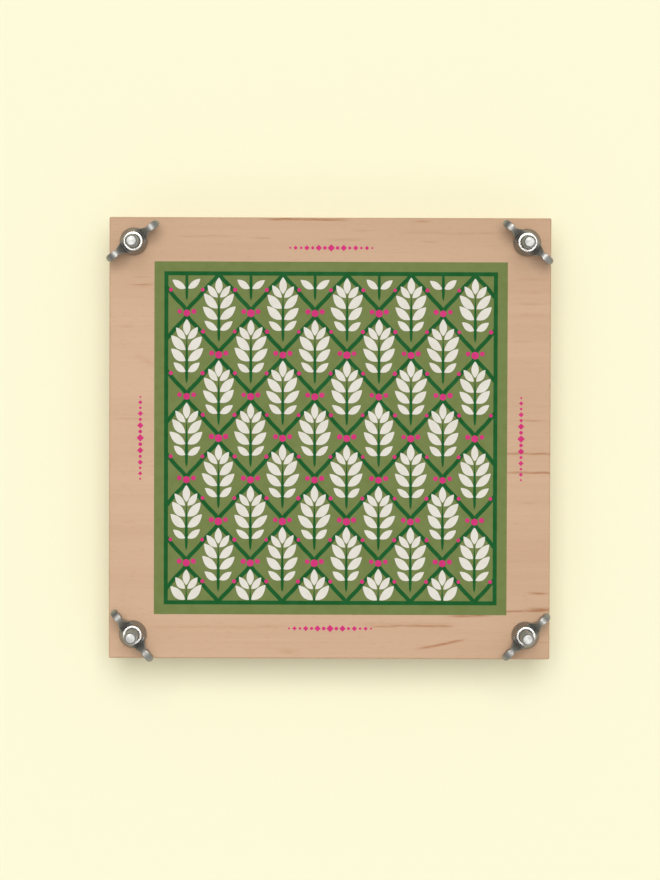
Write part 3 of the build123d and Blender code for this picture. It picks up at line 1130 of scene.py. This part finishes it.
@dataclass
class Sheets:
    """The stack of corrugated cards and blotting papers, each with its corners cut off.

    Lengths are in metres.
    """

    flutes: int = 21  # Flutes across a card.
    flute_points: int = 14  # Points along one flute.
    liner_grid: tuple[int, int] = (41, 9)  # Points along X and Y of a card's liners.
    blotter_grid: tuple[int, int] = (49, 49)  # Points along X and Y of a blotting paper.
    liner: float = 0.00035  # Thickness of a card's liners and of its fluted sheet.
    shift: float = 0.0003  # Largest sideways slip of a sheet in the stack.
    air: float = 0.00001  # Gap left at each face of a sheet.

    def __post_init__(self) -> None:
        """Start the seeded slips."""
        self.draw = np.random.default_rng(SEED + 1)

    def build(self, card: Material, blotter: Material) -> None:
        """Make every sheet in the stack.

        Args:
            card: Finish of the cards.
            blotter: Finish of the blotting papers.
        """
        for node in sorted(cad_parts):
            if node.startswith("corrugated_card"):
                self._card(node, card)
            elif node.startswith("blotting_paper"):
                self._blotter(node, blotter)

    def _plan(self, node: str, x_count: int, y_count: int) -> tuple[Array, Array]:
        """Spread a grid over a sheet whose corners are cut off at 45 degrees.

        The half depth at each x is the half side less what x passes the start of the cut, and y
        runs across it.

        Args:
            node: Node of the sheet.
            x_count: Points along X.
            y_count: Points along Y.

        Returns:
            Plan coordinates of shape (x_count, y_count).
        """
        corners = np.abs(point_values(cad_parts[node].data, "co"))
        half = corners[:, 0].max()
        level = corners[np.isclose(corners[:, 1], half, atol=10.0 * MERGE), 0].max()
        x = np.unique(np.append(np.linspace(-half, half, x_count), (-level, level)))[:, None]
        depth = half - np.maximum(np.abs(x) - level, 0.0)
        y = np.linspace(-1.0, 1.0, y_count)[None, :] * depth
        return x + 0.0 * y, y

    def _lay(
        self, sheet: MeshSheet, node: str, finish: Material, slot: str, thickness: float
    ) -> None:
        """Thicken a sheet, slip it a little in the stack and let it ride.

        Args:
            sheet: Its middle surfaces.
            node: Node that it stands for.
            finish: Its material.
            slot: Its slot.
            thickness: Thickness of each surface.
        """
        slip = np.append(self.draw.uniform(-self.shift, self.shift, 2), 0.0)
        sheet.points = [points + slip for points in sheet.points]
        piece = sheet.piece(f"{node}_sheet", smooth=False)
        skin = piece.modifiers.new("thickness", "SOLIDIFY")
        skin.thickness = thickness
        skin.offset = 0.0
        settle(piece, finish, node, slot, node)

    def _card(self, node: str, finish: Material) -> None:
        """Make a corrugated card: two flat liners, and a sheet between that waves as a cosine of x.

        Args:
            node: Node of the card.
            finish: Its material.
        """
        low, high = node_size(node)
        middle, half = (low[2] + high[2]) / 2.0, (high[2] - low[2]) / 2.0 - self.air
        sheet = MeshSheet()
        plan = self._plan(node, *self.liner_grid)
        for side in (-1.0, 1.0):
            sheet.add_grid(points_at(*plan, middle + side * (half - self.liner / 2.0)))
        x, y = self._plan(node, self.flutes * self.flute_points + 1, 5)
        wave = half - 1.5 * self.liner
        pitch = (high[0] - low[0]) / self.flutes
        z = middle - wave * np.cos(FULL_TURN * (x - low[0]) / pitch)
        sheet.add_grid(points_at(x, y, z))
        self._lay(sheet, node, finish, "card", self.liner)

    def _blotter(self, node: str, finish: Material) -> None:
        """Make a flat blotting paper.

        Args:
            node: Node of the paper.
            finish: Its material.
        """
        low, high = node_size(node)
        sheet = MeshSheet()
        plan = self._plan(node, *self.blotter_grid)
        sheet.add_grid(points_at(*plan, (low[2] + high[2]) / 2.0))
        self._lay(sheet, node, finish, "blotter", float(high[2] - low[2]) - 2.0 * self.air)


def pale_rays(sheet: NodeSheet) -> Socket:
    """Tell rays that show the backdrop, seen or mirrored, from those that only light the press.

    Args:
        sheet: Node sheet of the floor or the world.

    Returns:
        A share of 1 for camera, glossy and transmission rays, else 0.
    """
    path = sheet.node("ShaderNodeLightPath", {}).outputs
    mirrored = sheet.math("MAXIMUM", path["Is Glossy Ray"], path["Is Transmission Ray"])
    return sheet.math("MAXIMUM", path["Is Camera Ray"], mirrored)


@dataclass
class Studio:
    """Pale floor, soft light from the back and a camera nearly straight above.

    Lengths are in metres and angles in degrees.
    """

    distance: float = 2.1  # Camera's distance from the printed face.
    frame_height: float = 0.3989  # Height of what the picture takes in at that face.
    aim: tuple[float, float] = (-0.0001, -0.0007)  # Place on the face at the picture's middle.
    lean: float = 1.7  # Lean of the camera towards the back.
    roll: float = 0.19  # Turn of the camera about its line of sight.
    sun_tilt: float = 13.0  # Lean of the light towards the back.
    sun_size: float = 32.0  # Width of the light as the press sees it.
    sun_power: float = 1.84  # Strength of the light.
    glow: float = 0.12  # Share of the floor's colour that the camera sees without shade.
    floor_reach: float = 3.0  # Half the side of the floor.

    def build(self) -> None:
        """Set up floor, light, world and camera."""
        bpy.context.scene.view_settings.view_transform = "Standard"
        self._floor()
        self._light()
        self._world()
        self._camera()

    def _floor(self) -> None:
        """Lay a wide pale floor under the press."""
        sheet = MeshSheet()
        edge = np.linspace(-self.floor_reach, self.floor_reach, 3)
        sheet.add_grid(points_at(*np.meshgrid(edge, edge, indexing="ij"), 0.0))
        floor = sheet.piece("floor", smooth=False)
        material, nodes, shader = new_material("pale floor")
        faint = nodes.noise(nodes.place(), 3.0, 2.0)
        shade = nodes.mix(faint, BACKDROP, screen(253, 250, 217))
        nodes.feed(shader, {"Base Color": shade, "Roughness": 1.0, "Specular IOR Level": 0.0})
        plain = nodes.node("ShaderNodeEmission", {"Color": shade, "Strength": 1.0})
        share = nodes.times(pale_rays(nodes), self.glow)
        shaders = {0: share, 1: shader.outputs[0], 2: plain.outputs[0]}
        both = nodes.node("ShaderNodeMixShader", shaders)
        nodes.feed(nodes.tree.nodes["Material Output"], {"Surface": both.outputs[0]})
        floor.data.materials.append(material)

    def _light(self) -> None:
        """Hang a wide soft light over the press, leaning to the back."""
        lamp = bpy.data.lights.new("soft light", "SUN")
        lamp.energy = self.sun_power
        lamp.angle = np.radians(self.sun_size)
        linked("soft light", lamp).rotation_euler = (-np.radians(self.sun_tilt), 0.0, 0.0)

    def _world(self) -> None:
        """Surround the press with a sky that is bright overhead.

        In the metal it is brighter to the front right, and pale as the backdrop at its rim.
        """
        world = bpy.data.worlds.new("studio")
        world.use_nodes = True
        bpy.context.scene.world = world
        sheet = NodeSheet(world.node_tree)
        direction = sheet.node("ShaderNodeTexCoord", {}).outputs["Generated"]
        along_x, along_y, up = sheet.axes(direction)
        overhead = ((0.8, 0.5), (1.0, 0.8))
        light = self._sky(sheet, up, ((0.0, 0.2), (0.3, 0.2), (0.55, 0.26), *overhead))
        shown = self._sky(sheet, up, ((0.0, 0.62), (0.3, 0.5), (0.55, 0.34), *overhead))
        to_back_left = sheet.math("SUBTRACT", along_y, along_x)
        side = sheet.span(to_back_left, -1.0, 1.0, 1.6, 0.05)
        mirrored = sheet.mix(1.0, shown, side, "MULTIPLY")
        mirrored = sheet.mix(sheet.span(up, 0.15, 0.03), mirrored, BACKDROP)
        level = sheet.mix(pale_rays(sheet), light, mirrored)
        seen = sheet.node("ShaderNodeLightPath", {}).outputs["Is Camera Ray"]
        level = sheet.mix(seen, level, BACKDROP)
        sheet.feed(world.node_tree.nodes["Background"], {0: level})

    def _sky(self, sheet: NodeSheet, up: Socket, stops: tuple[tuple[float, float], ...]) -> Socket:
        """Grade the sky by height.

        Args:
            sheet: Node sheet of the world.
            up: Height of the direction, from 0 at the rim to 1 overhead.
            stops: Height and brightness at each step.

        Returns:
            The sky's grey.
        """
        ramp = sheet.node("ShaderNodeValToRGB", {0: up})
        steps = ramp.color_ramp.elements
        for height, _ in stops[1:-1]:
            steps.new(height)
        for step, (_, level) in zip(steps, stops):
            step.color = (level, level, level, 1.0)
        return ramp.outputs[0]

    def _camera(self) -> None:
        """Point the camera down at the printed face."""
        lens = bpy.data.cameras.new("camera")
        lens.sensor_width = 36.0
        lens.lens = lens.sensor_width * self.distance / self.frame_height
        camera = linked("camera", lens)
        lean = np.radians(self.lean)
        away = self.distance * np.array([0.0, np.sin(lean), np.cos(lean)])
        camera.location = np.array([*self.aim, node_size("top_board")[1][2]]) + away
        camera.rotation_euler = (-lean, 0.0, np.radians(self.roll))
        bpy.context.scene.camera = camera


def main() -> None:
    """Build every sub-assembly in order and light it."""
    logging.basicConfig(level=logging.INFO, format="%(name)s: %(message)s")
    steel = PlateFinish(
        "bright zinc plate",
        plate=screen(186, 185, 181),
        hollow=screen(116, 114, 110),
        wear_and_highlight=screen(218, 217, 214),
        grit=3000.0,
        depth=0.00001,
        metal=0.7,
        dullness=0.52,
    ).material()
    casting = PlateFinish(
        "cast zinc plate",
        plate=screen(153, 151, 146),
        hollow=screen(94, 93, 90),
        wear_and_highlight=screen(200, 198, 193),
        grit=2200.0,
        depth=0.00003,
        metal=0.76,
        dullness=0.45,
    ).material()
    card = PaperFinish(
        "brown card",
        tone=screen(186, 148, 108),
        cloud=screen(170, 131, 92),
        thread=screen(140, 102, 68),
        depth=0.00006,
        sheen=0.05,
    ).material()
    blotter = PaperFinish(
        "blotting paper",
        tone=screen(240, 236, 226),
        cloud=screen(231, 226, 214),
        thread=screen(250, 248, 242),
        depth=0.0001,
        sheen=0.2,
    ).material()
    Boards().dress()
    PrintedField().build()
    Bolts().build(steel)
    for corner in Corner:
        Washer(corner).build(steel)
        WingNut(corner).build(casting)
    Sheets().build(card, blotter)
    Studio().build()


if __name__ == "__main__":
    main()
